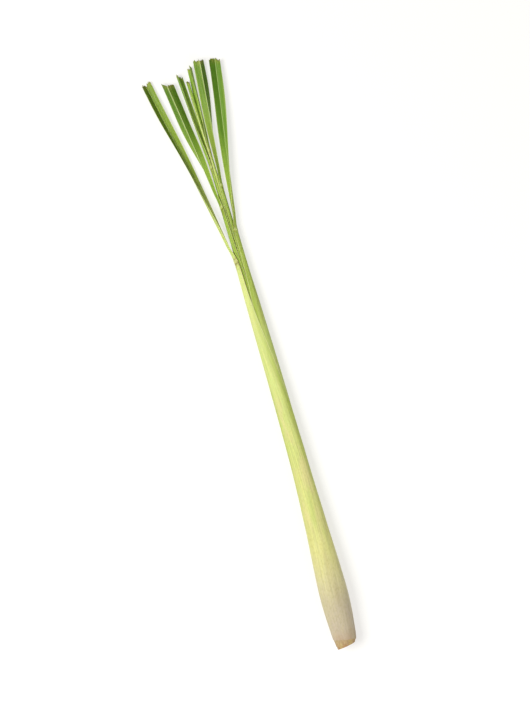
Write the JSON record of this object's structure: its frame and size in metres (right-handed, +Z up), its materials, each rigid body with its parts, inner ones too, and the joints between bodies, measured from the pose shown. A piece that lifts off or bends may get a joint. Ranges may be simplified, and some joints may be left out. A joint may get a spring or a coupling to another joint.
{
  "type": "lemongrass stalk",
  "caption": "Cut lemongrass stalk lying flat: short stem base, nested leaf sheaths swelling to a pale bulb, and folded green blades cut square.",
  "frame": {"origin": "on the surface the stalk lies on, under the middle of its bounding box", "axes": "+Y along the stalk from its cut stem base to its blade tips, +Z up off the surface, X across the fan of blades"},
  "size_m": [0.0626, 0.4536, 0.0201],
  "materials": {
    "stem_base": "matte cut plant tissue",
    "outer_leaf": "satin, finely ribbed fresh leaf",
    "inner_leaf": "satin, finely ribbed fresh leaf",
    "spear": "satin, finely ribbed fresh leaf"
  },
  "bodies": {
    "root": {"stem_base": "stem_base", "leaf_1": "outer_leaf", "leaf_2": "outer_leaf", "leaf_3": "inner_leaf", "leaf_4": "inner_leaf", "leaf_5": "inner_leaf", "leaf_6": "inner_leaf", "leaf_7": "spear"}
  },
  "joints": []
}
